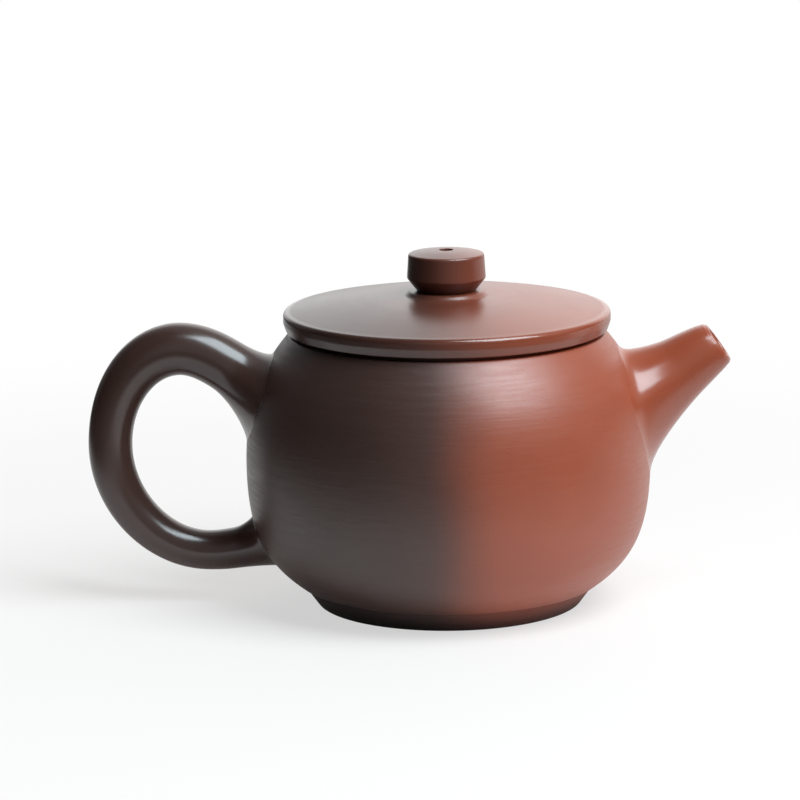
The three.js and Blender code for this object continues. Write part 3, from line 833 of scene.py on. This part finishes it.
# The collar swells out of the lid: its side rises as half a cosine wave.
def collarMesh():
    vent = lidShape["ventRadius"]
    share = np.linspace(0, 1, collarShape["sideRows"])
    rise = (1 - np.cos(share * np.pi)) / 2 * (collarTop - lidSeat)
    side = np.stack([collarRadius - share * collarShape["swell"], lidSeat + rise], -1)
    outline = np.vstack([[(vent, lidSeat)], side, [(vent, collarTop)]])
    return turnedMesh("collar_skin", outline, collarShape)


# The knob: a cone below, a nearly upright side, a soft top edge and a faint crown round the vent.
def knobMesh():
    shape = knobShape
    vent = lidShape["ventRadius"]
    widest = collarTop + shape["underHeight"]
    edge = widest + shape["sideHeight"]
    side = knobRadius - shape["sideTaper"]
    turn = np.linspace(0, np.pi / 2, shape["rimRows"])
    ease = shape["edgeRound"]
    rim = np.stack([side - ease + ease * np.cos(turn), edge - ease + ease * np.sin(turn)], -1)
    share = np.linspace(0, 1, shape["crownRows"])[1:]
    crownRadius = side - ease + (vent - side + ease) * share
    crown = np.stack([crownRadius, edge + shape["crown"] * np.sin(share * np.pi / 2)], -1)
    cone = [(vent, collarTop), (shape["footRadius"], collarTop), (knobRadius, widest)]
    return turnedMesh("knob_skin", np.vstack([cone, rim, crown]), shape)


addPiece("lid_skin", lidMesh(), "lid_plate", "lid", lidClay)
addPiece("flange_skin", flangeMesh(), "lid_flange", "lid", lidClay)
addPiece("collar_skin", collarMesh(), "knob_collar", "lid", lidClay)
addPiece("knob_skin", knobMesh(), "knob", "lid", knobClay)
print("lid and knob turned")

strainerShape = {
    "radius": 9.0,
    "thickness": 1.5,
    "holeRadius": 0.9,
    "rings": ((1, 0), (6, 24), (10, 46)),  # how many holes, and their angle from the middle, in degrees
    "gap": 0.3,  # mm between the ball's edge and the belly's wall
    "rows": 90,
    "columns": 120,
    "pole": 0.02,  # the angle left open at each pole, which a fan closes
    "drillSides": 32,
    "drillReach": (0.5, 1.3),  # where a drill starts and ends, as shares of the ball's radius
}
notADrill = [0.31, 0.87, 0.38]  # a way that no hole points in
roomMiddle = 0.5  # mm from the pot's axis to the middle fans of its inner room


# The strainer: a pierced part of a hollow ball. Its middle lies on the spout's axis, at the wall's inner
# side, and only what lies in the belly's inner room is kept.
def strainerMesh():
    shape = strainerShape
    length = spoutShape["reach"] / spoutWay[0]
    for _ in range(8):
        radius = np.interp(spoutTip[2] - length * spoutWay[2], fineBelly[:, 1], fineBelly[:, 0])
        length = (spoutTip[0] - radius) / spoutWay[0]
    middle = spoutTip - spoutWay * (length + bellyShape["wall"])
    slope = np.interp(middle[2], fineBelly[:, 1], bellySlope)
    inwards = np.array([-np.sin(slope), 0, np.cos(slope)])
    across = np.array([inwards[2], 0, -inwards[0]])
    beside = np.array([0.0, 1.0, 0.0])

    def ball(radius):
        polar = np.linspace(shape["pole"], np.pi - shape["pole"], shape["rows"])[:, None]
        turn = np.arange(shape["columns"]) / shape["columns"] * 2 * np.pi
        outward = np.cos(turn)[:, None] * across + np.sin(turn)[:, None] * beside
        points = np.cos(polar)[..., None] * inwards + np.sin(polar)[..., None] * outward
        return middle + radius * points

    drills = []
    for count, tilt in shape["rings"]:
        for turn in np.arange(count) / count * 2 * np.pi:
            tilted = math.radians(tilt)
            aim = math.cos(tilted) * inwards
            aim = aim + math.sin(tilted) * (math.cos(turn) * across + math.sin(turn) * beside)
            first = np.cross(aim, notADrill)
            first = first / np.linalg.norm(first)
            second = np.cross(aim, first)
            angle = np.arange(shape["drillSides"])[:, None] / shape["drillSides"] * 2 * np.pi
            ring = shape["holeRadius"] * (np.cos(angle) * first + np.sin(angle) * second)
            ends = [middle + aim * (shape["radius"] * share) + ring for share in shape["drillReach"]]
            drills.append(skinMesh("drill", np.stack(ends), False))
    inner = innerLine(bellyShape["wall"] + shape["gap"])
    floor, ceiling = (roomMiddle, inner[0, 1]), (roomMiddle, inner[-1, 1])
    room = turned(np.vstack([[floor], inner, [ceiling]]), bellyShape["columns"])
    shell = skinMesh("shell", ball(shape["radius"]), False)
    dome = carved(shell, [skinMesh("room", room, False)], "INTERSECT")
    hollow = skinMesh("hollow", ball(shape["radius"] - shape["thickness"]), False)
    return carved(dome, [hollow] + drills)


addPiece("strainer_skin", strainerMesh(), "strainer", "pot", rolledClay)
print("strainer pierced")

floorValues = {
    "half": 3.0,  # metres, as all lengths here
    "colour": (0.89, 0.81, 0.77),
    "whiteFrom": (0.08, 0.3),  # distances from the pot over which the floor turns to plain white
    "leastWhite": 0.6,  # how white it is nearer than that
    "mirrorWhite": 0.35,  # how white it is in reflections, behind the pot
    "behind": (-0.05, 0.1),  # the depths over which behind begins, and the same from the handle's side
    "beside": (-0.26, -0.14),
    "sheetEnd": (0.1, 0.18),  # where the white sheet ends, in front of the pot and on its handle's side
    "tableShade": 0.1,  # what is left of its paleness beyond that
}


# A white sheet that takes the pot's shadow. To the camera it turns to plain white with the distance
# from the pot, and behind the pot it is part white in reflections too. In front of the pot and on its
# handle's side, out of the picture, the sheet ends, and the pot sees the darker table there.
def makeFloor():
    half = floorValues["half"]
    mesh = bpy.data.meshes.new("floor")
    corners = [(-half, -half, 0), (half, -half, 0), (half, half, 0), (-half, half, 0)]
    mesh.from_pydata(corners, [], [(0, 1, 2, 3)])
    floor = bpy.data.objects.new("floor", mesh)
    bpy.context.scene.collection.objects.link(floor)
    material = bpy.data.materials.new("floor_paper")
    tree = Tree(material)
    path = tree.node("ShaderNodeLightPath")
    camera = Wire(tree, path.outputs["Is Camera Ray"])
    mirrored = Wire(tree, path.outputs["Is Glossy Ray"])
    mirrored = mirrored + Wire(tree, path.outputs["Is Transmission Ray"])
    place = tree.add("ShaderNodeTexCoord", output=3)
    distance = tree.add("ShaderNodeVectorMath", {"operation": "LENGTH"}, [place], output=1)
    parts = tree.node("ShaderNodeSeparateXYZ", None, [place])
    x, y = [Wire(tree, socket) for socket in parts.outputs[:2]]
    least = floorValues["leastWhite"]
    share = distance.eased(*floorValues["whiteFrom"]) * (1 - least) + least
    behind = y.eased(*floorValues["behind"]) * x.eased(*floorValues["beside"])
    offSheet = distance.eased(*floorValues["sheetEnd"]) * (1 - behind) * (1 - camera)
    level = 1 - offSheet * (1 - floorValues["tableShade"])
    scaled = {"Vector": floorValues["colour"], "Scale": level}
    colour = tree.add("ShaderNodeVectorMath", {"operation": "SCALE"}, scaled)
    paper = tree.add("ShaderNodeBsdfDiffuse", None, {"Color": colour})
    white = tree.add("ShaderNodeEmission", None, {"Color": (1, 1, 1, 1), "Strength": 1.0})
    whiteness = camera * share + mirrored * behind * floorValues["mirrorWhite"]
    mixed = tree.add("ShaderNodeMixShader", None, [whiteness, paper, white])
    tree.node("ShaderNodeOutputMaterial", None, {"Surface": mixed})
    mesh.materials.append(material)


makeFloor()

# Soft lights of the room. Azimuths start at the camera's side and grow towards the spout's side, and
# angles are in degrees.
roomLights = [
    {"azimuth": 170, "elevation": 12, "strength": 1.33},
    {"azimuth": -150, "elevation": 12, "strength": 0.15},
    {"azimuth": 165, "elevation": 50, "strength": 0.34},
    {"azimuth": 75, "elevation": 45, "strength": 0.5},
    {"azimuth": 10, "elevation": 12, "strength": 0.25},
]
lightSpread = (48, 5)  # how far from its middle each light begins, and where it is full
roomGlow = 0.01  # the strength everywhere else


# The way from the pot towards a light.
def wayTo(azimuth, elevation):
    azimuth, elevation = math.radians(azimuth), math.radians(elevation)
    level = math.cos(elevation)
    return Vector((math.sin(azimuth) * level, -math.cos(azimuth) * level, math.sin(elevation)))


# The room lights the pot from these directions and is plain white to the camera.
def makeRoom():
    world = bpy.data.worlds.new("room")
    bpy.context.scene.world = world
    tree = Tree(world)
    ray = tree.add("ShaderNodeTexCoord", output=0)
    outer, inner = [math.cos(math.radians(angle)) for angle in lightSpread]
    level = roomGlow
    for light in roomLights:
        way = wayTo(light["azimuth"], light["elevation"])
        settings = {"operation": "DOT_PRODUCT"}
        facing = tree.add("ShaderNodeVectorMath", settings, [ray, tuple(way)], output=1)
        level = facing.eased(outer, inner) * light["strength"] + level
    camera = Wire(tree, tree.node("ShaderNodeLightPath").outputs["Is Camera Ray"])
    level = level * (1 - camera) + camera
    background = tree.add("ShaderNodeBackground", None, {"Color": (1, 1, 1, 1), "Strength": level})
    tree.node("ShaderNodeOutputWorld", None, {"Surface": background})


makeRoom()

keyLamp = {
    "azimuth": 53,
    "elevation": 55,
    "distance": 0.85,
    "size": (0.56, 0.64),
    "power": 9.2,
    "colour": (0.84, 0.98, 1.05),
}
lookPoint = Vector((potAxis * 0.001, 0, 0.032))


# The one lamp: a large soft box, high up on the spout's side.
def makeLamp():
    light = bpy.data.lights.new("key", "AREA")
    light.shape = "RECTANGLE"
    light.size, light.size_y = keyLamp["size"]
    light.energy = keyLamp["power"]
    light.color = keyLamp["colour"]
    way = wayTo(keyLamp["azimuth"], keyLamp["elevation"])
    lamp = bpy.data.objects.new("key", light)
    lamp.location = lookPoint + way * keyLamp["distance"]
    lamp.rotation_euler = way.to_track_quat("Z", "Y").to_euler()
    bpy.context.scene.collection.objects.link(lamp)


makeLamp()
print("floor, room and lamp set")

cameraValues = {
    "elevation": 12.44,  # degrees
    "distance": 0.9016,
    "roll": -0.59,
    "focalPixels": 4301.5,
    "lookPixel": (448.17, 449.52),  # where the look point lies in the picture
    "picture": 800,
}


# The photograph's camera: level with the pot's front, a little above it, far off and slightly rolled.
def makeCamera():
    values = cameraValues
    elevation, roll = math.radians(values["elevation"]), math.radians(values["roll"])
    ahead = Vector((0, math.cos(elevation), -math.sin(elevation)))
    up = Vector((0, math.sin(elevation), math.cos(elevation)))
    right = Vector((1, 0, 0))
    rolledRight = right * math.cos(roll) + up * math.sin(roll)
    rolledUp = up * math.cos(roll) - right * math.sin(roll)
    half = values["picture"] / 2
    offRight, offDown = values["lookPixel"][0] - half, values["lookPixel"][1] - half
    aim = (ahead * values["focalPixels"] - rolledRight * offRight + rolledUp * offDown).normalized()
    sideways = (rolledRight - aim * rolledRight.dot(aim)).normalized()
    upright = sideways.cross(aim)
    camera = bpy.data.cameras.new("camera")
    camera.sensor_width = 36
    camera.lens = values["focalPixels"] / values["picture"] * camera.sensor_width
    camera.clip_start, camera.clip_end = 0.05, 20
    holder = bpy.data.objects.new("camera", camera)
    turn = Matrix((sideways, upright, -aim)).transposed()
    holder.matrix_world = Matrix.Translation(lookPoint - ahead * values["distance"]) @ turn.to_4x4()
    bpy.context.scene.collection.objects.link(holder)
    bpy.context.scene.camera = holder


makeCamera()
bpy.context.scene.view_settings.view_transform = "Standard"
print("camera set")
